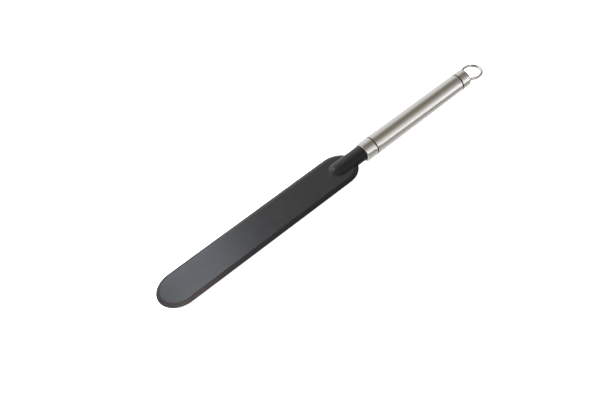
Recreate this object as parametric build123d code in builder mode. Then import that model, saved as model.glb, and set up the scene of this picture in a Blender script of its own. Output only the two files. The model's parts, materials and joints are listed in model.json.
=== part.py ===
"""Cake spatula: a long moulded blade in line with a steel tube handle.

X runs along the spatula from the blade's tip (-X) to the hanging loop (+X), Y across the blade
and Z square to its faces. The origin is under the middle of the whole spatula, at the height of
the handle's lowest line. All sizes are in millimetres.
"""

import os
from math import sqrt

from build123d import *

os.makedirs("parts", exist_ok=True)

# ---- Driving dimensions --------------------------------------------------------------------

# Blade and neck: one black nylon moulding, the same on both faces
blade_length = 218.0
blade_width = 37.8
blade_thickness = 4.4
blade_end_reach = 21.2  # how far each rounded end reaches along the blade
bevel_run = 3.9  # width of the sloping band inside the edge
edge_land = 0.5  # thickness left at the edge
neck_diameter = 15.4
neck_over_blade = 28.1  # from the heel to the neck's round end on the blade
neck_exposed = 9.9  # from the heel to the ferrule
root_fillet = 1.0  # where the neck meets the blade
moulding_rise = 0.7  # blade and neck above the handle's axis
collar_length = 4.25  # round part behind the neck that fills the ferrule's mouth
shoulder_gap = 0.05  # between the neck's rear end and the ferrule
spigot_diameter = 13.0
spigot_length = 5.0  # behind the collar, inside the front bush

# Handle
ferrule_length = 11.8
ring_thickness = 1.2
tube_length = 112.4
cap_length = 10.8
tube_front_diameter = 19.0
tube_rear_diameter = 18.0
tube_wall = 0.8
cap_wall = 0.7
ferrule_edge_radius = 1.55  # rounds the ferrule's wall over to its mouth
cap_edge_radius = 2.0
ring_recess = 0.15  # how far the black rings lie below the steel
fit_gap = 0.05  # radial gap between parts that slide together
match_tolerance = 0.01  # when edges are picked by their height

# Tie rod, its nut and washer, and the insert it screws into
rod_diameter = 5.0
insert_diameter = 9.0
insert_length = 15.0
insert_groove_width = 3.0
insert_groove_depth = 0.5
washer_diameter = 10.0
washer_thickness = 1.0
nut_across_flats = 8.0
nut_thickness = 4.0
rod_beyond_nut = 0.7

# Bushes
front_bush_in_tube = 14.0
rear_bush_in_tube = 14.0
rear_bush_in_cap = 3.0

# Hanging loop and the plug it pivots in
wire_diameter = 3.0
loop_radius = 9.6  # to the middle of the wire
loop_centre_beyond_cap = 9.35
leg_offset = 6.6  # from the handle's axis to the middle of each leg
leg_flare_radius = 3.0  # where a leg turns outwards into the loop
foot_bend_radius = 2.0
foot_end_offset = 1.3  # from the handle's axis to the end of each foot
pivot_depth = 3.0  # from the cap's end face to the pivot
plug_web = 9.2  # thickness of the plug between the legs
plug_gap = 0.4  # between the plug and the rear bush
leg_slot_width = 3.3
leg_slot_length = 7.3

# ---- Stations along X ----------------------------------------------------------------------

loop_reach = loop_centre_beyond_cap + loop_radius + wire_diameter / 2
handle_length = ferrule_length + 2 * ring_thickness + tube_length + cap_length
overall_length = blade_length + neck_exposed + handle_length + loop_reach

tip_x = -overall_length / 2
heel_x = tip_x + blade_length
ferrule_x = heel_x + neck_exposed
front_ring_x = ferrule_x + ferrule_length
tube_x = front_ring_x + ring_thickness
rear_ring_x = tube_x + tube_length
cap_x = rear_ring_x + ring_thickness
cap_end_x = cap_x + cap_length
pivot_x = cap_end_x - pivot_depth
loop_x = cap_end_x + loop_centre_beyond_cap
collar_x = ferrule_x - shoulder_gap
bush_x = collar_x + collar_length
neck_end_x = bush_x + spigot_length

# ---- Radii and shared geometry -------------------------------------------------------------

axis_height = tube_front_diameter / 2
blade_height = axis_height + moulding_rise
front_radius = tube_front_diameter / 2
rear_radius = tube_rear_diameter / 2
neck_radius = neck_diameter / 2
mouth_radius = front_radius - ferrule_edge_radius
collar_radius = mouth_radius - fit_gap
spigot_radius = spigot_diameter / 2
rod_radius = rod_diameter / 2
wire_radius = wire_diameter / 2
front_bore = front_radius - tube_wall
rear_bore = rear_radius - tube_wall
cap_bore = rear_radius - cap_wall

handle_axis = Axis((0, 0, axis_height), (1, 0, 0))
neck_axis = Axis((0, 0, blade_height), (1, 0, 0))
# Half-sections are drawn here: X along the handle, Y as the radius
section_plane = Plane(origin=(0, 0, axis_height), x_dir=(1, 0, 0), z_dir=(0, -1, 0))
neck_plane = Plane(origin=(0, 0, blade_height), x_dir=(1, 0, 0), z_dir=(0, -1, 0))
# The loop's wire is drawn here
loop_plane = Plane.XY.offset(axis_height)


def blade_outline(inset):
    """Edges of the blade's outline, drawn this far inside its edge."""
    half_width = blade_width / 2 - inset
    reach = blade_end_reach - inset
    tip_centre = tip_x + blade_end_reach
    heel_centre = heel_x - blade_end_reach
    with BuildLine() as outline:
        Line((tip_centre, half_width), (heel_centre, half_width))
        EllipticalCenterArc((heel_centre, 0), reach, half_width, start_angle=90, arc_size=-180)
        Line((heel_centre, -half_width), (tip_centre, -half_width))
        EllipticalCenterArc((tip_centre, 0), reach, half_width, start_angle=270, arc_size=-180)
    return outline.edges()


def insert_outline():
    """Outer half-section of the insert as points, from its front end to its rear end."""
    front = neck_end_x - insert_length
    middle = neck_end_x - insert_length / 2
    radius = insert_diameter / 2
    groove = radius - insert_groove_depth
    return [
        (front, radius),
        (middle - insert_groove_width / 2, radius),
        (middle - insert_groove_width / 2, groove),
        (middle + insert_groove_width / 2, groove),
        (middle + insert_groove_width / 2, radius),
        (neck_end_x, radius),
    ]


# ---- Blade with its neck -------------------------------------------------------------------

with BuildPart() as blade:
    with BuildSketch(Plane.XY.offset(blade_height - edge_land / 2)):
        make_face(blade_outline(0))
    extrude(amount=edge_land)
    for side in (1, -1):
        with BuildSketch(Plane.XY.offset(blade_height + side * edge_land / 2)):
            make_face(blade_outline(0))
        with BuildSketch(Plane.XY.offset(blade_height + side * blade_thickness / 2)):
            make_face(blade_outline(bevel_run))
        loft(ruled=True)
    # Neck with its round end
    root_centre = heel_x - neck_over_blade + neck_radius
    with BuildSketch(neck_plane):
        with BuildLine():
            CenterArc((root_centre, 0), neck_radius, 90, 90)
            Polyline(
                (root_centre, neck_radius),
                (collar_x, neck_radius),
                (collar_x, 0),
                (root_centre - neck_radius, 0),
            )
        make_face()
    revolve(axis=neck_axis)
    # Soften the corner all along the neck's root
    root_edges = blade.edges().filter_by(
        lambda edge: heel_x - neck_over_blade < edge.center().X < heel_x
        and abs(edge.center().Y) < neck_radius
        and abs(edge.center().Z - blade_height) < blade_thickness / 2 + match_tolerance
    )
    fillet(root_edges, root_fillet)
    # Collar and spigot inside the ferrule
    with BuildSketch(section_plane):
        with BuildLine():
            Polyline(
                (collar_x, 0),
                (collar_x, collar_radius),
                (bush_x, collar_radius),
                (bush_x, spigot_radius),
                (neck_end_x, spigot_radius),
                (neck_end_x, 0),
                close=True,
            )
        make_face()
    revolve(axis=handle_axis)
    # Pocket that the insert is moulded into
    with BuildSketch(section_plane):
        with BuildLine():
            Polyline(
                (neck_end_x - insert_length, 0),
                *insert_outline(),
                (neck_end_x, 0),
                close=True,
            )
        make_face()
    revolve(axis=handle_axis, mode=Mode.SUBTRACT)

blade.part.label = "blade"
export_step(blade.part, "parts/blade.step")

# ---- Threaded insert in the end of the neck ------------------------------------------------

with BuildPart() as neck_insert:
    with BuildSketch(section_plane):
        with BuildLine():
            Polyline(
                (neck_end_x - insert_length, rod_radius + fit_gap),
                *insert_outline(),
                (neck_end_x, rod_radius + fit_gap),
                close=True,
            )
        make_face()
    revolve(axis=handle_axis)

neck_insert.part.label = "neck_insert"
export_step(neck_insert.part, "parts/neck_insert.step")

# ---- Tie rod, washer and nut ---------------------------------------------------------------

bush_rear_x = cap_x + rear_bush_in_cap
nut_end_x = bush_rear_x - rod_beyond_nut
nut_x = nut_end_x - nut_thickness
washer_x = nut_x - washer_thickness
rod_x = neck_end_x - insert_length + 1
rod_end_x = bush_rear_x
cross_plane = Plane(origin=(0, 0, axis_height), x_dir=(0, 1, 0), z_dir=(1, 0, 0))

with BuildPart() as tie_rod:
    with BuildSketch(cross_plane.offset(rod_x)):
        Circle(rod_radius)
    extrude(amount=rod_end_x - rod_x)
    chamfer(tie_rod.edges(), 0.5)

tie_rod.part.label = "tie_rod"
export_step(tie_rod.part, "parts/tie_rod.step")

with BuildPart() as tie_washer:
    with BuildSketch(cross_plane.offset(washer_x)):
        Circle(washer_diameter / 2)
        Circle(rod_radius + fit_gap, mode=Mode.SUBTRACT)
    extrude(amount=washer_thickness)

tie_washer.part.label = "tie_washer"
export_step(tie_washer.part, "parts/tie_washer.step")

with BuildPart() as tie_nut:
    with BuildSketch(cross_plane.offset(nut_x)):
        RegularPolygon(nut_across_flats / 2, 6, major_radius=False)
        Circle(rod_radius + fit_gap, mode=Mode.SUBTRACT)
    extrude(amount=nut_thickness)

tie_nut.part.label = "tie_nut"
export_step(tie_nut.part, "parts/tie_nut.step")

# ---- Front ferrule -------------------------------------------------------------------------

ferrule_bend_x = ferrule_x + ferrule_edge_radius
with BuildPart() as front_ferrule:
    with BuildSketch(section_plane):
        with BuildLine():
            CenterArc((ferrule_bend_x, mouth_radius), ferrule_edge_radius, 90, 90)
            Polyline(
                (ferrule_bend_x, front_radius),
                (front_ring_x, front_radius),
                (front_ring_x, front_bore),
                (ferrule_bend_x, front_bore),
            )
            CenterArc((ferrule_bend_x, mouth_radius), ferrule_edge_radius - tube_wall, 90, 90)
            Line((ferrule_x + tube_wall, mouth_radius), (ferrule_x, mouth_radius))
        make_face()
    revolve(axis=handle_axis)

front_ferrule.part.label = "front_ferrule"
export_step(front_ferrule.part, "parts/front_ferrule.step")

# ---- Front bush: centres the neck in the ferrule and the ferrule on the tube ---------------

with BuildPart() as front_bush:
    with BuildSketch(section_plane):
        with BuildLine():
            Polyline(
                (bush_x, spigot_radius + fit_gap),
                (bush_x, front_bore - fit_gap),
                (tube_x, front_bore - fit_gap),
                (tube_x, front_bore - 3 * fit_gap),
                (tube_x + front_bush_in_tube, front_bore - 3 * fit_gap),
                (tube_x + front_bush_in_tube, rod_radius + fit_gap),
                (neck_end_x, rod_radius + fit_gap),
                (neck_end_x, spigot_radius + fit_gap),
                close=True,
            )
        make_face()
    revolve(axis=handle_axis)

front_bush.part.label = "front_bush"
export_step(front_bush.part, "parts/front_bush.step")

# ---- Handle tube, tapering a little to the rear --------------------------------------------

with BuildPart() as handle_tube:
    with BuildSketch(section_plane):
        with BuildLine():
            Polyline(
                (tube_x, front_bore),
                (tube_x, front_radius),
                (rear_ring_x, rear_radius),
                (rear_ring_x, rear_bore),
                close=True,
            )
        make_face()
    revolve(axis=handle_axis)

handle_tube.part.label = "handle_tube"
export_step(handle_tube.part, "parts/handle_tube.step")

# ---- Black rings at the two ends of the tube -----------------------------------------------

with BuildPart() as front_ring:
    with BuildSketch(cross_plane.offset(front_ring_x)):
        Circle(front_radius - ring_recess)
        Circle(front_bore, mode=Mode.SUBTRACT)
    extrude(amount=ring_thickness)

front_ring.part.label = "front_ring"
export_step(front_ring.part, "parts/front_ring.step")

with BuildPart() as rear_ring:
    with BuildSketch(cross_plane.offset(rear_ring_x)):
        Circle(rear_radius - ring_recess)
        Circle(rear_bore, mode=Mode.SUBTRACT)
    extrude(amount=ring_thickness)

rear_ring.part.label = "rear_ring"
export_step(rear_ring.part, "parts/rear_ring.step")

# ---- Rear bush: the nut pulls on it inside its recess --------------------------------------

with BuildPart() as rear_bush:
    with BuildSketch(section_plane):
        with BuildLine():
            Polyline(
                (rear_ring_x - rear_bush_in_tube, rod_radius + fit_gap),
                (rear_ring_x - rear_bush_in_tube, rear_bore - fit_gap),
                (bush_rear_x, rear_bore - fit_gap),
                (bush_rear_x, washer_diameter / 2 + fit_gap),
                (washer_x, washer_diameter / 2 + fit_gap),
                (washer_x, rod_radius + fit_gap),
                close=True,
            )
        make_face()
    revolve(axis=handle_axis)

rear_bush.part.label = "rear_bush"
export_step(rear_bush.part, "parts/rear_bush.step")

# ---- End cap, with a slot for each leg of the loop -----------------------------------------

cap_bend_x = cap_end_x - cap_edge_radius
cap_face_radius = rear_radius - cap_edge_radius
with BuildPart() as end_cap:
    with BuildSketch(section_plane):
        with BuildLine():
            CenterArc((cap_bend_x, cap_face_radius), cap_edge_radius, 0, 90)
            Polyline(
                (cap_bend_x, rear_radius),
                (cap_x, rear_radius),
                (cap_x, cap_bore),
                (cap_bend_x, cap_bore),
            )
            CenterArc((cap_bend_x, cap_face_radius), cap_edge_radius - cap_wall, 0, 90)
            Polyline(
                (cap_end_x - cap_wall, cap_face_radius),
                (cap_end_x - cap_wall, 0),
                (cap_end_x, 0),
                (cap_end_x, cap_face_radius),
            )
        make_face()
    revolve(axis=handle_axis)
    with BuildSketch(cross_plane.offset(cap_end_x)):
        with Locations((leg_offset, 0), (-leg_offset, 0)):
            SlotOverall(leg_slot_length, leg_slot_width, rotation=90)
    extrude(amount=-cap_edge_radius, mode=Mode.SUBTRACT)

end_cap.part.label = "end_cap"
export_step(end_cap.part, "parts/end_cap.step")

# ---- End plug: a web between the legs, with the cross hole that the loop's feet turn in ----

plug_x = bush_rear_x + plug_gap
web_x = pivot_x - wire_radius - 0.25
plug_end_x = cap_end_x - cap_wall
plug_radius = cap_bore - fit_gap
with BuildPart() as end_plug:
    with BuildSketch(cross_plane.offset(plug_x)):
        Circle(plug_radius)
    extrude(amount=plug_end_x - plug_x)
    # Clear the cap's rounded inner corner
    chamfer(end_plug.edges().sort_by(Axis.X)[-1], cap_edge_radius - cap_wall)
    # Room for the legs on each side of the web
    side_width = plug_radius - plug_web / 2
    for side in (1, -1):
        with BuildSketch(cross_plane.offset(web_x)):
            with Locations((side * (plug_web / 2 + side_width / 2), 0)):
                Rectangle(side_width, 2 * plug_radius)
        extrude(amount=plug_end_x - web_x, mode=Mode.SUBTRACT)
    with BuildSketch(Plane(origin=(pivot_x, 0, axis_height), z_dir=(0, 1, 0))):
        Circle(wire_radius + fit_gap)
    extrude(amount=plug_web, both=True, mode=Mode.SUBTRACT)

end_plug.part.label = "end_plug"
export_step(end_plug.part, "parts/end_plug.step")

# ---- Hanging loop: one bent wire with its two feet turned inwards --------------------------

flare_y = leg_offset + leg_flare_radius
flare_x = loop_x - sqrt((loop_radius + leg_flare_radius) ** 2 - flare_y**2)
join_share = loop_radius / (loop_radius + leg_flare_radius)
join_x = loop_x + (flare_x - loop_x) * join_share
join_y = flare_y * join_share
bend_x = pivot_x + foot_bend_radius
bend_y = leg_offset - foot_bend_radius

with BuildPart() as hanging_loop:
    with BuildLine(loop_plane) as wire_path:
        Line((pivot_x, foot_end_offset), (pivot_x, bend_y))
        RadiusArc((pivot_x, bend_y), (bend_x, leg_offset), foot_bend_radius)
        Line((bend_x, leg_offset), (flare_x, leg_offset))
        RadiusArc((flare_x, leg_offset), (join_x, join_y), -leg_flare_radius)
        ThreePointArc((join_x, join_y), (loop_x + loop_radius, 0), (join_x, -join_y))
        RadiusArc((join_x, -join_y), (flare_x, -leg_offset), -leg_flare_radius)
        Line((flare_x, -leg_offset), (bend_x, -leg_offset))
        RadiusArc((bend_x, -leg_offset), (pivot_x, -bend_y), foot_bend_radius)
        Line((pivot_x, -bend_y), (pivot_x, -foot_end_offset))
    with BuildSketch(Plane(origin=(pivot_x, foot_end_offset, axis_height), z_dir=(0, 1, 0))):
        Circle(wire_radius)
    sweep()

hanging_loop.part.label = "hanging_loop"
export_step(hanging_loop.part, "parts/hanging_loop.step")
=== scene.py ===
"""Looks for the cake spatula: refined meshes, materials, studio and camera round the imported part.

Everything is in metres in the part's own frame: X from the blade's tip to the hanging loop, Y across
the blade, Z square to its faces. Directions round the handle's axis are given as an angle in degrees
from straight up (0) towards the camera's side (90), the floor (180) and the far side (-90).
"""

import json
import math

import bmesh
import bpy
from mathutils import Matrix, Vector


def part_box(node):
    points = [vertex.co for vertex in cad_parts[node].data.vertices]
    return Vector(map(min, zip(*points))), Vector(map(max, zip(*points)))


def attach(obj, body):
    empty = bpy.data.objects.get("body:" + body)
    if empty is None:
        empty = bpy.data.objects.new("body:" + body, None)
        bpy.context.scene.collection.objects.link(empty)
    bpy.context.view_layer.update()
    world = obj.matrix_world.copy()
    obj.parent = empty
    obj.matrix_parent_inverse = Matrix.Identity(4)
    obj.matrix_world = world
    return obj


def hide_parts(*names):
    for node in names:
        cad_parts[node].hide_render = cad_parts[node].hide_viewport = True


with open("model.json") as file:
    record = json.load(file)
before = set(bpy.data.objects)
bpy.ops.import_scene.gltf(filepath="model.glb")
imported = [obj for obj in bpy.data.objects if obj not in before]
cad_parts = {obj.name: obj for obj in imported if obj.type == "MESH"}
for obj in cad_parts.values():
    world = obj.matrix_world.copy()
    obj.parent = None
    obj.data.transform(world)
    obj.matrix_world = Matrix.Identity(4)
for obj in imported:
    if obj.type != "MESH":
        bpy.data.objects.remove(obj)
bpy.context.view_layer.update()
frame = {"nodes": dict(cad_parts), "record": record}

MM = 0.001

# ---- Stations and radii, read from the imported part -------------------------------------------

blade_low, blade_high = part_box("blade")
ferrule_low, ferrule_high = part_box("front_ferrule")
tube_low, tube_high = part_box("handle_tube")
cap_low, cap_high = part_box("end_cap")
loop_low, loop_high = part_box("hanging_loop")
insert_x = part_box("neck_insert")[0].x

tip_x = blade_low.x
neck_end_x = blade_high.x
ferrule_x = ferrule_low.x
front_ring_x = ferrule_high.x
tube_x = tube_low.x
rear_ring_x = tube_high.x
cap_end_x = cap_high.x
blade_width = blade_high.y - blade_low.y
axis_z = (tube_low.z + tube_high.z) / 2
front_radius = (tube_high.z - tube_low.z) / 2
rear_radius = (cap_high.z - cap_low.z) / 2
wire_radius = (loop_high.z - loop_low.z) / 2

# ---- Sizes that the boxes don't give ----------------------------------------------------------

blade_length = 218 * MM
blade_thickness = 4.4 * MM
blade_end_reach = 21.2 * MM
bevel_run = 3.9 * MM
edge_land = 0.5 * MM
neck_radius = 7.7 * MM
neck_over_blade = 28.1 * MM
moulding_rise = 0.7 * MM  # blade and neck above the handle's axis
shoulder_gap = 0.05 * MM
collar_length = 4.25 * MM
collar_corner = 0.15 * MM
spigot_radius = 6.5 * MM
insert_radius = 4.5 * MM
insert_groove_width = 3.0 * MM
insert_groove_depth = 0.5 * MM

tube_wall = 0.8 * MM
ferrule_edge_radius = 1.55 * MM
fit_gap = 0.05 * MM
broken_edge = 0.12 * MM  # radius left on a cut steel edge
ring_corner = 0.25 * MM

loop_radius = 9.6 * MM
loop_centre_beyond_cap = 9.35 * MM
leg_offset = 6.6 * MM
leg_flare_radius = 3.0 * MM
foot_bend_radius = 2.0 * MM
foot_end_offset = 1.3 * MM
pivot_depth = 3.0 * MM
loop_swing = math.radians(30)

heel_x = tip_x + blade_length
collar_x = ferrule_x - shoulder_gap
root_x = heel_x - neck_over_blade + neck_radius
blade_z = axis_z + moulding_rise
mouth_radius = front_radius - ferrule_edge_radius
front_bore = front_radius - tube_wall
rear_bore = rear_radius - tube_wall
pivot_x = cap_end_x - pivot_depth
loop_x = cap_end_x + loop_centre_beyond_cap


# ---- Node graphs ------------------------------------------------------------------------------


class Graph:
    """A node tree with short calls for the nodes that the materials and the studio share."""

    def __init__(self, tree):
        self.nodes = tree.nodes
        self.links = tree.links
        self.nodes.clear()

    def join(self, value, socket):
        """Feed a socket from another socket, or give it a plain value."""
        if isinstance(value, bpy.types.NodeSocket):
            self.links.new(value, socket)
        else:
            socket.default_value = value

    def fit(self, value, low, high, to_low=0.0, to_high=1.0):
        """Map value from low..high to to_low..to_high, clamped."""
        node = self.nodes.new("ShaderNodeMapRange")
        ends = (value, low, high, to_low, to_high)
        for socket, end in zip(node.inputs, ends):
            self.join(end, socket)
        return node.outputs["Result"]

    def math(self, operation, first, second=0.0):
        node = self.nodes.new("ShaderNodeMath")
        node.operation = operation
        self.join(first, node.inputs[0])
        self.join(second, node.inputs[1])
        return node.outputs[0]

    def window(self, angle, rise, fall):
        """1 between two angles and 0 outside them. Each soft edge is a pair of angles in degrees."""
        start = self.fit(angle, *map(math.radians, rise))
        end = self.fit(angle, *map(math.radians, fall), 1.0, 0.0)
        return self.math("MULTIPLY", start, end)

    def mix(self, factor, first, second):
        """Blend two colours. Each is a colour or a socket."""
        node = self.nodes.new("ShaderNodeMix")
        node.data_type = "RGBA"
        self.join(factor, node.inputs["Factor"])
        for label, value in (("A", first), ("B", second)):
            socket = [s for s in node.inputs if s.name == label and s.type == "RGBA"][0]
            self.join((*value, 1) if isinstance(value, tuple) else value, socket)
        return [s for s in node.outputs if s.type == "RGBA"][0]


class Material(Graph):
    """A node material built round one Principled shader."""

    def __init__(self, name):
        self.data = bpy.data.materials.new(name)
        self.data.use_nodes = True
        super().__init__(self.data.node_tree)
        self.shader = self.nodes.new("ShaderNodeBsdfPrincipled")
        output = self.nodes.new("ShaderNodeOutputMaterial")
        self.links.new(self.shader.outputs[0], output.inputs["Surface"])
        self.position = self.nodes.new("ShaderNodeTexCoord").outputs["Object"]

    def set(self, socket, value):
        self.join(value, self.shader.inputs[socket])

    def noise(self, size, stretch=(1, 1, 1), detail=3.0, roughness=0.55, source=None):
        """Noise from 0 to 1 with features of this size in metres, longer along a stretched axis."""
        mapping = self.nodes.new("ShaderNodeMapping")
        mapping.inputs["Scale"].default_value = tuple(1 / (size * part) for part in stretch)
        self.links.new(source or self.position, mapping.inputs["Vector"])
        node = self.nodes.new("ShaderNodeTexNoise")
        node.inputs["Scale"].default_value = 1
        node.inputs["Detail"].default_value = detail
        node.inputs["Roughness"].default_value = roughness
        self.links.new(mapping.outputs["Vector"], node.inputs["Vector"])
        return node.outputs["Fac"]

    def attribute(self, name):
        node = self.nodes.new("ShaderNodeAttribute")
        node.attribute_name = name
        return node.outputs["Fac"]

    def bump(self, *layers):
        """Chain bump nodes. Each layer is (height, depth in metres)."""
        normal = None
        for height, depth in layers:
            node = self.nodes.new("ShaderNodeBump")
            node.inputs["Strength"].default_value = 1
            node.inputs["Distance"].default_value = depth
            self.links.new(height, node.inputs["Height"])
            if normal is not None:
                self.links.new(normal, node.inputs["Normal"])
            normal = node.outputs["Normal"]
        self.links.new(normal, self.shader.inputs["Normal"])


def shade(colour, share):
    """The same colour made darker or lighter."""
    return tuple(share * part for part in colour)


# ---- Materials --------------------------------------------------------------------------------


nylon_sheen = 0.12
nylon_sheen_roughness = 0.4
nylon_scuff_depth = 0.002 * MM
quarter_turn = 0.25  # rings round the handle spread light along it
wire_line_depth = 0.0012 * MM
turning_depth = 0.002 * MM


def nylon(name, colour, rough, specular=0.5, grain=0.22 * MM, grain_depth=0.006 * MM):
    """Moulded nylon: spark-eroded grain, flow mottling, fine scuffs, edges worn smooth, and painted
    light on the blade's neck.
    """
    material = Material(name)
    fine = material.noise(grain, detail=2)
    mottle = material.noise(7 * MM, stretch=(1.6, 1, 1), detail=5)
    scuffs = material.noise(0.5 * MM, stretch=(50, 1, 1), detail=2)
    scuff_mask = material.fit(scuffs, 0.64, 0.8)
    wear_and_painted_light = material.math("MULTIPLY", material.attribute("wear_and_painted_light"), material.fit(fine, 0.35, 0.6, 0.4, 1.0))
    base = material.mix(material.fit(mottle, 0.3, 0.7), shade(colour, 0.85), shade(colour, 1.1))
    base = material.mix(material.math("MULTIPLY", scuff_mask, 0.4), base, shade(colour, 1.9))
    # Lighter colour from the attribute: worn edge and ridge lines, and painted light over the whole neck
    base = material.mix(material.math("MULTIPLY", wear_and_painted_light, 0.35), base, shade(colour, 2.2))
    speckle = material.math("MULTIPLY", material.fit(fine, 0.45, 0.75), 0.3)
    material.set("Base Color", material.mix(speckle, base, shade(colour, 1.8)))
    roughness = material.fit(mottle, 0.3, 0.7, rough - 0.04, rough + 0.05)
    for amount, effect in ((scuff_mask, -0.07), (wear_and_painted_light, -0.1), (material.fit(fine, 0.3, 0.7), 0.05)):
        roughness = material.math("ADD", roughness, material.math("MULTIPLY", amount, effect))
    material.set("Roughness", roughness)
    material.set("Specular IOR Level", specular)
    material.set("Sheen Weight", nylon_sheen)
    material.set("Sheen Roughness", nylon_sheen_roughness)
    material.bump((fine, grain_depth), (scuffs, nylon_scuff_depth))
    return material.data


def turned_steel(name, colour, rough, anisotropic, ring_depth):
    """Stainless steel finished in a lathe: very fine rings round the axis, and a few dull smudges."""
    material = Material(name)
    rings = material.noise(0.08 * MM, stretch=(1, 90, 90), detail=4, roughness=0.7)
    coarse = material.noise(0.5 * MM, stretch=(1, 40, 40), detail=2)
    smudge = material.noise(13 * MM, detail=4)
    base = material.mix(material.fit(rings, 0.25, 0.75), shade(colour, 0.93), shade(colour, 1.03))
    stain = material.math("MULTIPLY", material.fit(smudge, 0.55, 0.8), 0.3)
    material.set("Base Color", material.mix(stain, base, shade(colour, 0.9)))
    roughness = material.fit(rings, 0.25, 0.75, rough - 0.02, rough + 0.02)
    dull = material.fit(smudge, 0.4, 0.8, 0.0, 0.04)
    material.set("Roughness", material.math("ADD", roughness, dull))
    material.set("Metallic", 1.0)
    material.set("Anisotropic", anisotropic)
    material.set("Anisotropic Rotation", quarter_turn)
    material.bump((rings, ring_depth), (coarse, ring_depth))
    tangent = material.nodes.new("ShaderNodeTangent")
    tangent.direction_type = "RADIAL"
    tangent.axis = "X"
    material.set("Tangent", tangent.outputs[0])
    return material.data


def drawn_wire(name, colour, rough):
    """Drawn steel wire: long shallow die lines and small dull spots."""
    material = Material(name)
    along = material.nodes.new("ShaderNodeUVMap").outputs[0]
    lines = material.noise(0.1 * MM, stretch=(60, 1, 1), detail=3, source=along)
    spots = material.noise(2.5 * MM, detail=3)
    base = material.mix(material.fit(spots, 0.4, 0.7), colour, shade(colour, 0.85))
    material.set("Base Color", material.mix(material.fit(lines, 0.3, 0.7), shade(colour, 0.9), base))
    material.set("Roughness", material.fit(spots, 0.35, 0.75, rough, rough + 0.1))
    material.set("Metallic", 1.0)
    material.bump((lines, wire_line_depth))
    return material.data


def plain_metal(name, colour, rough):
    """Turned and plated hardware inside the handle."""
    material = Material(name)
    cloud = material.noise(1.5 * MM, detail=4)
    rings = material.noise(0.1 * MM, stretch=(1, 20, 20), detail=2)
    material.set("Base Color", material.mix(material.fit(cloud, 0.35, 0.7), colour, shade(colour, 0.75)))
    material.set("Roughness", material.fit(cloud, 0.3, 0.7, rough - 0.05, rough + 0.1))
    material.set("Metallic", 1.0)
    material.bump((rings, turning_depth))
    return material.data


steel = (0.85, 0.84, 0.825)
blade_black = (0.0129, 0.0121, 0.0126)
ring_black = (0.018, 0.018, 0.019)
plug_black = (0.03, 0.03, 0.031)
natural_nylon = (0.36, 0.35, 0.32)
fine_turning = 0.0001 * MM
polished_turning = 0.00005 * MM

materials = {
    "blade_nylon": nylon("blade_nylon", blade_black, 0.38, 0.25, grain=0.6 * MM, grain_depth=0.035 * MM),
    "ring_black": nylon("ring_black", ring_black, 0.36, grain=0.15 * MM, grain_depth=0.002 * MM),
    "plug_nylon": nylon("plug_nylon", plug_black, 0.42),
    "bush_nylon": nylon("bush_nylon", natural_nylon, 0.5),
    "tube_steel": turned_steel("tube_steel", steel, 0.17, 0.5, fine_turning),
    "cap_steel": turned_steel("cap_steel", steel, 0.17, 0.5, fine_turning),
    "ferrule_steel": turned_steel("ferrule_steel", steel, 0.15, 0.4, polished_turning),
    "wire_steel": drawn_wire("wire_steel", (0.70, 0.69, 0.66), 0.12),
    "plain_steel": plain_metal("plain_steel", (0.5, 0.5, 0.5), 0.35),
    "brass": plain_metal("brass", (0.72, 0.52, 0.22), 0.3),
}
node_slots = {part["node"]: part["material_slot"] for part in frame["record"]["subparts"]}
for node, slot in node_slots.items():
    mesh = frame["nodes"][node].data
    mesh.materials.clear()
    mesh.materials.append(materials[slot])


# ---- Mesh helpers -----------------------------------------------------------------------------

merge_distance = 0.002 * MM
crease_angle = math.radians(38)


def add_piece(name, mesh, node, body):
    """Put a finished mesh in the scene in place of a CAD node."""
    slot = node_slots[node]
    mesh.materials.append(materials[slot])
    piece = bpy.data.objects.new(name, mesh)
    bpy.context.scene.collection.objects.link(piece)
    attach(piece, body)
    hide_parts(node)
    return piece


def skin(name, rings, join_ends=False):
    """Mesh through rings of points that all have the same count, with doubled points merged."""
    builder = bmesh.new()
    rows = [[builder.verts.new(point) for point in ring] for ring in rings]
    pairs = list(zip(rows, rows[1:]))
    if join_ends:
        pairs.append((rows[-1], rows[0]))
    for first, second in pairs:
        for i in range(len(first)):
            j = (i + 1) % len(first)
            builder.faces.new((first[i], first[j], second[j], second[i]))
    bmesh.ops.remove_doubles(builder, verts=builder.verts, dist=merge_distance)
    bmesh.ops.dissolve_degenerate(builder, edges=builder.edges, dist=merge_distance)
    bmesh.ops.recalc_face_normals(builder, faces=builder.faces)
    mesh = bpy.data.meshes.new(name)
    builder.to_mesh(mesh)
    builder.free()
    mesh.shade_smooth()
    mesh.set_sharp_from_angle(angle=crease_angle)
    return mesh


def arc(centre, radius, start, end, steps):
    """Points on an arc in a plane. Angles are in degrees."""
    points = []
    for step in range(steps + 1):
        angle = math.radians(start + (end - start) * step / steps)
        points.append((centre[0] + radius * math.cos(angle), centre[1] + radius * math.sin(angle)))
    return points


def lathe(name, profile, segments=144):
    """Turn a closed half-section of (x, radius) points about the handle's axis."""
    rings = []
    for x, radius in profile:
        ring = []
        for segment in range(segments):
            angle = 2 * math.pi * segment / segments
            ring.append((x, radius * math.sin(angle), axis_z + radius * math.cos(angle)))
        rings.append(ring)
    return skin(name, rings, join_ends=True)


def straight(start, end, steps):
    """Points along a line, without its two ends."""
    return [
        (start[0] + (end[0] - start[0]) * i / steps, start[1] + (end[1] - start[1]) * i / steps)
        for i in range(1, steps)
    ]


# ---- Blade with its neck ----------------------------------------------------------------------

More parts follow.
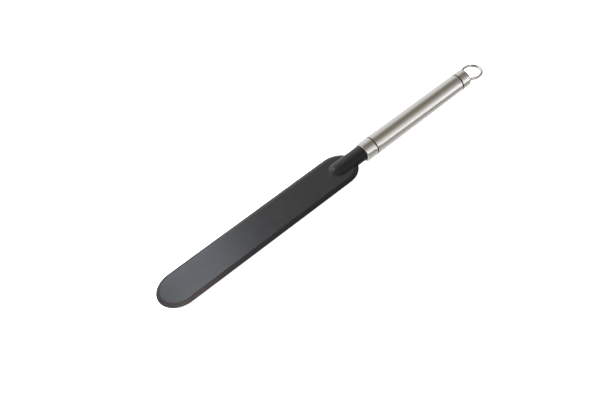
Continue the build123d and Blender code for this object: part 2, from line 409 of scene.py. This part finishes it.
ridge_softness = 0.16 * MM  # of the line between the bevel and the flat
root_softness = 1.3 * MM  # of the fillet between the neck and the blade
wear_width = 0.35 * MM  # of the rubbed lines along the edge and the ridge
neck_painted_light = 1.0  # painted light: the neck's colour made lighter all over, and its surface less rough
half_thickness = blade_thickness / 2
bevel_slope = (half_thickness - edge_land / 2) / bevel_run
slope_length = math.hypot(1, bevel_slope)
nose_radius = (edge_land / 2) / (slope_length - bevel_slope)
nose_inset = nose_radius * (1 - bevel_slope / slope_length)


def smooth_min(first, second, softness):
    """The lower of two heights, rounded where they cross."""
    share = min(1.0, max(0.0, 0.5 + 0.5 * (second - first) / softness))
    return second + (first - second) * share - softness * share * (1 - share)


def plate_height(inset):
    """Half of the blade's thickness this far inside its edge: rounded edge, bevel, ridge, flat."""
    if inset <= 0:
        return 0.0
    if inset < nose_inset:
        return math.sqrt(nose_radius**2 - (nose_radius - inset) ** 2)
    return smooth_min(edge_land / 2 + bevel_slope * inset, half_thickness, ridge_softness)


def outline_half_width(x, inset):
    """Half of the blade's width at x, measured this far inside its edge."""
    reach = blade_end_reach - inset
    beyond_centre = max(tip_x + blade_end_reach - x, x - heel_x + blade_end_reach, 0)
    if beyond_centre >= reach:
        return 0.0
    return (blade_width / 2 - inset) * math.sqrt(1 - (beyond_centre / reach) ** 2)


halvings = 40


def inset_at(x, y):
    """How far inside the blade's edge a point is, or 0 outside it, found by halving."""
    low = 0.0
    high = blade_width / 2
    for _ in range(halvings):
        middle = (low + high) / 2
        if outline_half_width(x, middle) > y:
            low = middle
        else:
            high = middle
    if y == 0:
        low = min(low, x - tip_x, heel_x - x)
    return max(0.0, low)


def neck_half_width(x):
    """Half of the neck's width at x. Its nose is a dome that starts before the round part."""
    return math.sqrt(max(0.0, neck_radius**2 - min(0.0, x - root_x) ** 2))


fall_beside_neck = 3  # steep enough that the blade's own surface wins there


def neck_height(x, y):
    """Height of the neck's surface, falling away steeply outside it."""
    half = neck_half_width(x)
    if y < half:
        return math.sqrt((half - y) * (half + y))
    return -fall_beside_neck * (y - half)


def surface_height(x, y):
    """Height of the moulding's top above its middle plane, with a fillet round the neck."""
    plate = plate_height(inset_at(x, y))
    neck = neck_height(x, y)
    if plate <= 0 or neck_half_width(x) <= 0:
        return max(plate, neck, 0.0)
    return -smooth_min(-plate, -neck, root_softness)


nose_steps = [nose_inset * part for part in (0, 0.06, 0.22, 0.5, 1)]
bevel_steps = [nose_inset + (bevel_run - nose_inset) * part for part in (0.3, 0.6, 0.82)]
ridge_spread = (-1.7, -1.0, -0.45, 0, 0.45, 1.0, 1.7)
ridge_steps = [bevel_run + ridge_softness * part for part in ridge_spread]
edge_insets = nose_steps + bevel_steps + ridge_steps
flat_count = 5
fillet_count = 9
crown_count = 14
heel_detail = 9 * MM  # the part of the heel where the rings lie closest
least_spacing = 0.01 * MM


def quarter_section(x):
    """(y, height) points from the blade's edge to the middle, for one side and one face."""
    beside_neck = plate_height(inset_at(x, neck_radius))
    half = neck_half_width(x)
    foot_out = math.sqrt(max(0.0, half**2 - max(0.0, beside_neck - root_softness) ** 2))
    foot_in = math.sqrt(max(0.0, half**2 - (beside_neck + root_softness) ** 2))
    across = [max(outline_half_width(x, inset), foot_out) for inset in edge_insets]
    last = across[-1]
    flat = [last + (foot_out - last) * i / flat_count for i in range(1, flat_count)]
    across += flat + [foot_out]
    if outline_half_width(x, 0) > half:
        step = (foot_in - foot_out) / fillet_count
        across += [foot_out + step * i for i in range(1, fillet_count + 1)]
    else:
        start = math.pi / 2
        turn = (math.asin(foot_in / half) - start) / fillet_count
        across += [half * math.sin(start + turn * i) for i in range(1, fillet_count + 1)]
    lean = math.asin(foot_in / half) if foot_in > 0 else 0.0
    crown = [half * math.sin(lean * (1 - i / crown_count)) for i in range(1, crown_count + 1)]
    across += crown
    return [(y, surface_height(x, y)) for y in across]


def whole_ring(x, quarter, centre_z):
    """One closed ring from a quarter section: top from +Y to -Y, then the underside back."""
    back = quarter[-2::-1]
    top = quarter + [(-y, z) for y, z in back]
    under = [(-y, -z) for y, z in quarter] + [(y, -z) for y, z in back]
    return [(x, y, centre_z + z) for y, z in top + under]


def eased(start, end, steps):
    """Stations that crowd towards the start, where a rounded outline opens."""
    return [start + (end - start) * (1 - math.cos(math.pi / 2 * i / steps)) for i in range(steps + 1)]


def evenly(start, end, steps):
    """Stations at one spacing, without the first."""
    return [start + (end - start) * i / steps for i in range(1, steps + 1)]


def blade_stations():
    """Where along X the blade is cut into rings, from the tip to the collar."""
    tip_centre = tip_x + blade_end_reach
    heel_centre = heel_x - blade_end_reach
    dome_x = root_x - math.sqrt(neck_radius**2 - (half_thickness - root_softness) ** 2)
    detail_x = heel_x - heel_detail
    stations = eased(tip_x, tip_centre, steps=30)
    stations += eased(tip_x + bevel_run - ridge_softness, tip_centre, steps=24)
    stations += eased(tip_x + bevel_run + ridge_spread[-1] * ridge_softness, tip_centre, steps=16)
    stations += evenly(tip_centre, dome_x, steps=24)
    stations += eased(dome_x, root_x, steps=26)
    stations += evenly(root_x, heel_centre, steps=3)
    stations += evenly(heel_centre, detail_x, steps=12)
    stations += evenly(detail_x, heel_x, steps=36)
    stations += evenly(heel_x, collar_x, steps=5)
    kept = []
    for x in sorted(stations):
        if not kept or x - kept[-1] > least_spacing:
            kept.append(x)
    return kept


def round_rings(quarter):
    """Collar, spigot and the pocket for the insert, as rings concentric with the handle."""
    collar_radius = mouth_radius - fit_gap
    bush_x = collar_x + collar_length
    middle = (insert_x + neck_end_x) / 2
    groove = insert_groove_width / 2
    floor_radius = insert_radius - insert_groove_depth
    corner_middle = 0.3 * collar_corner
    outline = [
        (collar_x, collar_radius - collar_corner),
        (collar_x + corner_middle, collar_radius - corner_middle),
        (collar_x + collar_corner, collar_radius),
        (bush_x, collar_radius),
        (bush_x, spigot_radius),
        (neck_end_x, spigot_radius),
        (neck_end_x, insert_radius),
        (middle + groove, insert_radius),
        (middle + groove, floor_radius),
        (middle - groove, floor_radius),
        (middle - groove, insert_radius),
        (insert_x, insert_radius),
        (insert_x, 0.0),
    ]
    rings = []
    for x, radius in outline:
        scale = radius / neck_radius
        rings.append(whole_ring(x, [(y * scale, z * scale) for y, z in quarter], axis_z))
    return rings


def wear_and_painted_light_at(x, y):
    """How worn the blade is at a point, from 0 to 1, most along its edge and along the ridge. On the
    neck, its collar and its spigot it gives instead the strength of the painted light.
    """
    # The neck is lightened all over: painted light, not worn
    if x >= heel_x or y < neck_half_width(x):
        return neck_painted_light
    inset = inset_at(x, y)
    from_line = min(inset, abs(inset - bevel_run)) / wear_width
    return math.exp(-(from_line**2))


def make_blade():
    """Blade and neck as one skin of rings, with its worn lines and the neck's painted light stored on
    the points.
    """
    sections = [(x, quarter_section(x)) for x in blade_stations()]
    rings = [whole_ring(x, quarter, blade_z) for x, quarter in sections]
    rings += round_rings(sections[-1][1])
    mesh = skin("blade_skin", rings)
    wear_and_painted_light = mesh.attributes.new("wear_and_painted_light", "FLOAT", "POINT")
    for vertex, value in zip(mesh.vertices, wear_and_painted_light.data):
        value.value = wear_and_painted_light_at(vertex.co.x, abs(vertex.co.y))
    return add_piece("moulded_blade", mesh, "blade", "spatula")


moulded_blade = make_blade()

# ---- Turned steel pieces and the black rings --------------------------------------------------


def make_ferrule():
    """Short tube whose front edge is rolled in round the neck's collar."""
    bend_x = ferrule_x + ferrule_edge_radius
    end_x = front_ring_x - broken_edge
    profile = arc((bend_x, mouth_radius), ferrule_edge_radius, 180, 90, 14)
    profile += straight((bend_x, front_radius), (end_x, front_radius), 6)
    profile += arc((end_x, front_radius - broken_edge), broken_edge, 90, 0, 4)
    profile += [(front_ring_x, front_bore)]
    profile += arc((bend_x, mouth_radius), ferrule_edge_radius - tube_wall, 90, 180, 6)
    return add_piece("ferrule_shell", lathe("ferrule_skin", profile), "front_ferrule", "spatula")


def make_tube():
    """Handle tube, slightly narrower at the loop's end."""
    start_x = tube_x + broken_edge
    end_x = rear_ring_x - broken_edge
    profile = arc((start_x, front_radius - broken_edge), broken_edge, 180, 90, 4)
    profile += straight((start_x, front_radius), (end_x, rear_radius), 24)
    profile += arc((end_x, rear_radius - broken_edge), broken_edge, 90, 0, 4)
    profile += [(rear_ring_x, rear_bore)]
    profile += straight((rear_ring_x, rear_bore), (tube_x, front_bore), 6)
    profile += [(tube_x, front_bore)]
    return add_piece("tube_shell", lathe("tube_skin", profile), "handle_tube", "spatula")


def make_ring(name, node, bore):
    """A black spacer ring with rounded outer corners."""
    low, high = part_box(node)
    radius = (high.z - low.z) / 2
    corner_z = radius - ring_corner
    profile = arc((low.x + ring_corner, corner_z), ring_corner, 180, 90, 5)
    profile += arc((high.x - ring_corner, corner_z), ring_corner, 90, 0, 5)
    profile += [(high.x, bore), (low.x, bore)]
    return add_piece(name, lathe(name + "_skin", profile), node, "spatula")


make_ferrule()
make_tube()
make_ring("front_spacer", "front_ring", front_bore)
make_ring("rear_spacer", "rear_ring", rear_bore)

# ---- Hanging loop -----------------------------------------------------------------------------


def half_loop_path():
    """Middle of the wire in (x, y) from the foot's end round to the far end, on the +Y side."""
    flare_y = leg_offset + leg_flare_radius
    reach = loop_radius + leg_flare_radius
    flare_x = loop_x - math.sqrt(reach**2 - flare_y**2)
    lean = math.degrees(math.atan2(flare_y, flare_x - loop_x))
    bend_x = pivot_x + foot_bend_radius
    path = [(pivot_x, foot_end_offset), (pivot_x, (foot_end_offset + leg_offset) / 2)]
    path += arc((bend_x, leg_offset - foot_bend_radius), foot_bend_radius, 180, 90, 12)
    path += arc((flare_x, flare_y), leg_flare_radius, 270, 180 + lean, 10)
    path += arc((loop_x, 0), loop_radius, lean, 0, 56)[1:]
    return path


wire_sides = 28
foot_round = [(0.0, 0.0), (0.0, 0.6), (0.1, 0.85), (0.3, 1.0)]  # (along, radius) in wire radii


def wire_ring(centre, along, radius):
    """Points round the wire at one place on its path."""
    ring = []
    for side in range(wire_sides):
        angle = 2 * math.pi * side / wire_sides
        out = radius * math.cos(angle)
        lift = radius * math.sin(angle)
        ring.append((centre.x - along.y * out, centre.y + along.x * out, axis_z + lift))
    return ring


def make_loop():
    """Wire of round section along the whole path, with rounded ends on its feet."""
    near = half_loop_path()
    path = near + [(x, -y) for x, y in near[-2::-1]]
    rings = []
    last = len(path) - 1
    for i, point in enumerate(path):
        before = Vector(path[max(0, i - 1)])
        after = Vector(path[min(last, i + 1)])
        along = (after - before).normalized()
        if i == 0:
            stages = foot_round
        elif i == last:
            stages = [(-step, share) for step, share in reversed(foot_round)]
        else:
            stages = [(0.0, 1.0)]
        for step, share in stages:
            centre = Vector(point) + along * step * wire_radius
            rings.append(wire_ring(centre, along, wire_radius * share))
    mesh = skin("loop_skin", rings)
    add_wire_map(mesh, path)
    return add_piece("wire_loop", mesh, "hanging_loop", "loop")


def add_wire_map(mesh, path):
    """UV map in metres: along the wire, and round it."""
    travelled = [0.0]
    for first, second in zip(path, path[1:]):
        travelled.append(travelled[-1] + (Vector(second) - Vector(first)).length)
    places = []
    for vertex in mesh.vertices:
        x, y = vertex.co.x, vertex.co.y
        nearest = min(range(len(path)), key=lambda k: (path[k][0] - x) ** 2 + (path[k][1] - y) ** 2)
        middle = path[nearest]
        outwards = math.hypot(x - loop_x, y) - math.hypot(middle[0] - loop_x, middle[1])
        places.append((travelled[nearest], math.atan2(vertex.co.z - axis_z, outwards)))
    layer = mesh.uv_layers.new(name="wire")
    for face in mesh.polygons:
        angles = [places[i][1] for i in face.vertices]
        across_seam = max(angles) - min(angles) > math.pi
        for corner, i in zip(face.loop_indices, face.vertices):
            distance, angle = places[i]
            if across_seam and angle < 0:
                angle += 2 * math.pi
            layer.data[corner].uv = (distance, angle * wire_radius)


wire_loop = make_loop()

# ---- Floor ------------------------------------------------------------------------------------


floor_size = 12
floor_glow = 0.95
loop_dip = (loop_high.x - pivot_x) * math.sin(loop_swing) + wire_radius


def make_floor(height):
    """Pale matt paper with a faint tooth, which glows so that it reads as a white sweep."""
    material = Material("floor_paper")
    tooth = material.noise(1.2 * MM, detail=3)
    material.set("Base Color", material.mix(tooth, (0.93, 0.93, 0.93), (0.96, 0.96, 0.96)))
    material.set("Roughness", 0.9)
    material.set("Emission Color", (1, 1, 1, 1))
    material.set("Emission Strength", floor_glow)
    mesh = bpy.data.meshes.new("floor")
    half = floor_size / 2
    corners = [(-half, -half), (half, -half), (half, half), (-half, half)]
    mesh.from_pydata([(x, y, height) for x, y in corners], [], [(0, 1, 2, 3)])
    mesh.materials.append(material.data)
    floor = bpy.data.objects.new("floor", mesh)
    bpy.context.scene.collection.objects.link(floor)
    # The steel mirrors the tent below the handle too, and the floor throws no light back
    floor.visible_glossy = False
    floor.visible_diffuse = False


# Just low enough that the loop clears it at the bottom of its swing
make_floor(axis_z - loop_dip)

# ---- Studio: a light tent whose brightness changes round the handle's axis --------------------

neutral = (1.0, 1.0, 1.0)
olive = (1.08, 1.02, 0.84)
rose = (1.08, 0.97, 0.93)
cool = (0.97, 1.0, 1.02)

# (direction in degrees, brightness, tint)
tent_bands = (
    (-180, 0.80, neutral),
    (-106, 0.84, neutral),
    (-78, 0.78, neutral),
    (-58, 0.72, neutral),
    (-41, 0.62, neutral),
    (-26, 0.38, rose),
    (-14, 0.22, olive),
    (-2, 0.175, olive),
    (12, 0.21, olive),
    (26, 0.26, olive),
    (37, 0.36, rose),
    (49, 0.60, rose),
    (62, 0.73, rose),
    (74, 0.80, neutral),
    (81, 0.95, cool),
    (88, 1.45, cool),
    (93, 0.90, cool),
    (97, 0.30, olive),
    (106, 0.27, olive),
    (118, 0.31, olive),
    (132, 0.45, rose),
    (152, 0.58, neutral),
    (180, 0.80, neutral),
)


# Pairs of angles are in degrees. Pairs "along" say how far a direction points along +X, from -1 to 1.
fill = 0.5  # share of the tent's light that reaches matt surfaces

lean_turn = (12, -18)  # the bands on the camera's side lie lower towards the loop's end
lean_along = (0.40, 0.60)
lean_rise = (25, 60)
lean_fall = (130, 165)

end_panel_colour = (1.3, 1.33, 1.35)  # a bright panel, mirrored only near the loop's end
end_panel_along = (0.48, 0.60)
end_panel_rise = (44, 66)
end_panel_fall = (90, 95)

end_shade_colour = (0.30, 0.29, 0.27)  # beyond the hanging loop
end_shade_along = (0.62, 0.82)


def tent_direction(graph):
    """Angle round the handle's axis in radians, and how far along +X, for a direction into the tent."""
    parts = graph.nodes.new("ShaderNodeSeparateXYZ")
    graph.links.new(graph.nodes.new("ShaderNodeTexCoord").outputs["Generated"], parts.inputs[0])
    along, across, height = parts.outputs
    towards_camera = graph.math("MULTIPLY", across, -1.0)
    return graph.math("ARCTAN2", towards_camera, height), along


def tent_ramp(graph, angle):
    """Colour of the bands at an angle in radians."""
    ramp = graph.nodes.new("ShaderNodeValToRGB")
    ramp.color_ramp.interpolation = "LINEAR"
    elements = ramp.color_ramp.elements
    while len(elements) < len(tent_bands):
        elements.new(0.5)
    for element, (degrees, level, tint) in zip(elements, tent_bands):
        element.position = (degrees + 180) / 360
        element.color = (*shade(tint, level), 1)
    graph.links.new(graph.fit(angle, -math.pi, math.pi), ramp.inputs["Fac"])
    return ramp.outputs["Color"]


def tent_colour(graph):
    """The bands with their lean, then the bright panel and the shade at the loop's end."""
    angle, along = tent_direction(graph)
    lean = graph.fit(along, *lean_along, *map(math.radians, lean_turn))
    lean = graph.math("MULTIPLY", lean, graph.window(angle, lean_rise, lean_fall))
    angle = graph.math("ADD", angle, lean)
    colour = tent_ramp(graph, angle)

    near_end = graph.fit(along, *end_panel_along)
    on_panel = graph.math("MULTIPLY", graph.window(angle, end_panel_rise, end_panel_fall), near_end)
    colour = graph.mix(on_panel, colour, end_panel_colour)
    return graph.mix(graph.fit(along, *end_shade_along), colour, end_shade_colour)


def make_tent():
    """World that lights the object with the tent. Straight from the camera it is plain white."""
    world = bpy.data.worlds.new("tent")
    world.use_nodes = True
    graph = Graph(world.node_tree)
    ray = graph.nodes.new("ShaderNodeLightPath").outputs
    tent = graph.nodes.new("ShaderNodeBackground")
    graph.links.new(tent_colour(graph), tent.inputs["Color"])
    graph.links.new(graph.fit(ray["Is Diffuse Ray"], 0, 1, 1.0, fill), tent.inputs["Strength"])
    plain = graph.nodes.new("ShaderNodeBackground")
    plain.inputs["Color"].default_value = (1, 1, 1, 1)
    choice = graph.nodes.new("ShaderNodeMixShader")
    graph.links.new(ray["Is Camera Ray"], choice.inputs[0])
    graph.links.new(tent.outputs[0], choice.inputs[1])
    graph.links.new(plain.outputs[0], choice.inputs[2])
    output = graph.nodes.new("ShaderNodeOutputWorld")
    graph.links.new(choice.outputs[0], output.inputs["Surface"])
    bpy.context.scene.world = world


make_tent()

# ---- Lights -----------------------------------------------------------------------------------


def softbox(name, target, direction, distance, size, power, colour, only=None, mirrored=True):
    """A rectangular area light at this distance from its target, facing it.

    It lights everything, or only one piece. Shiny surfaces mirror it unless mirrored is false.
    """
    light = bpy.data.lights.new(name, "AREA")
    light.shape = "RECTANGLE"
    light.size, light.size_y = size
    light.energy = power
    light.color = colour
    holder = bpy.data.objects.new(name, light)
    towards = Vector(direction).normalized()
    holder.location = Vector(target) + towards * distance
    holder.rotation_mode = "QUATERNION"
    holder.rotation_quaternion = towards.to_track_quat("Z", "Y")
    holder.visible_glossy = mirrored
    bpy.context.scene.collection.objects.link(holder)
    if only is not None:
        holder.visible_camera = False
        receivers = bpy.data.collections.new(name + "_receivers")
        receivers.objects.link(only)
        holder.light_linking.receiver_collection = receivers


# The key models the matt surfaces, from the far side
softbox(
    "key",
    target=(-0.03, 0, axis_z),
    direction=(-0.1, 0.76, 0.64),
    distance=1.5,
    size=(0.5, 0.5),
    power=64,
    colour=(1.0, 0.98, 1.0),
    mirrored=False,
)

# A cool panel beyond the blade, which the flat face mirrors near the tip
softbox(
    "tip_panel",
    target=(tip_x + 0.065, 0.12, axis_z),
    direction=(0.0, 0.01, 1.0),
    distance=0.13,
    size=(0.1, 0.18),
    power=0.3,
    colour=(0.84, 1.01, 1.12),
    only=moulded_blade,
)

# A low warm light for the bevel on the camera's side of the tip
softbox(
    "bevel_light",
    target=(tip_x + 0.03, -0.01, axis_z),
    direction=(-0.4, -0.9, 0.15),
    distance=0.065,
    size=(0.06, 0.05),
    power=0.3,
    colour=(1.1, 0.98, 0.94),
    only=moulded_blade,
    mirrored=False,
)

# Two panels that only the wire loop mirrors, for the bright streaks along it
softbox(
    "loop_far_panel",
    target=(loop_x, 0, axis_z),
    direction=(0.1, 0.906, 0.42),
    distance=0.3,
    size=(0.42, 0.42),
    power=0.4,
    colour=neutral,
    only=wire_loop,
)
softbox(
    "loop_near_panel",
    target=(loop_x, 0, axis_z),
    direction=(-0.35, -0.68, 0.62),
    distance=0.3,
    size=(0.16, 0.12),
    power=0.1,
    colour=neutral,
    only=wire_loop,
)

# ---- Camera -----------------------------------------------------------------------------------

camera_target = Vector((-40.6, -0.45, 9.19)) * MM
camera_distance = 676.5 * MM
camera_azimuth = math.radians(-29.52)
camera_elevation = math.radians(49.11)
camera_roll = math.radians(13.40)
sensor_width = 36.0  # this and the focal length are in millimetres
focal_length = 45.6
clip_near = 0.01
clip_far = 100


def make_camera():
    """Camera that looks at the target, rolled about its line of sight."""
    back = Vector(
        (
            math.sin(camera_azimuth) * math.cos(camera_elevation),
            -math.cos(camera_azimuth) * math.cos(camera_elevation),
            math.sin(camera_elevation),
        )
    )
    lens = bpy.data.cameras.new("camera")
    lens.sensor_width = sensor_width
    lens.lens = focal_length
    lens.clip_start = clip_near
    lens.clip_end = clip_far
    camera = bpy.data.objects.new("camera", lens)
    camera.rotation_mode = "QUATERNION"
    camera.location = camera_target + back * camera_distance
    level = (-back).to_track_quat("-Z", "Y")
    camera.rotation_quaternion = level @ Matrix.Rotation(-camera_roll, 3, "Z").to_quaternion()
    bpy.context.scene.collection.objects.link(camera)
    bpy.context.scene.camera = camera


make_camera()
bpy.context.scene.view_settings.view_transform = "Standard"
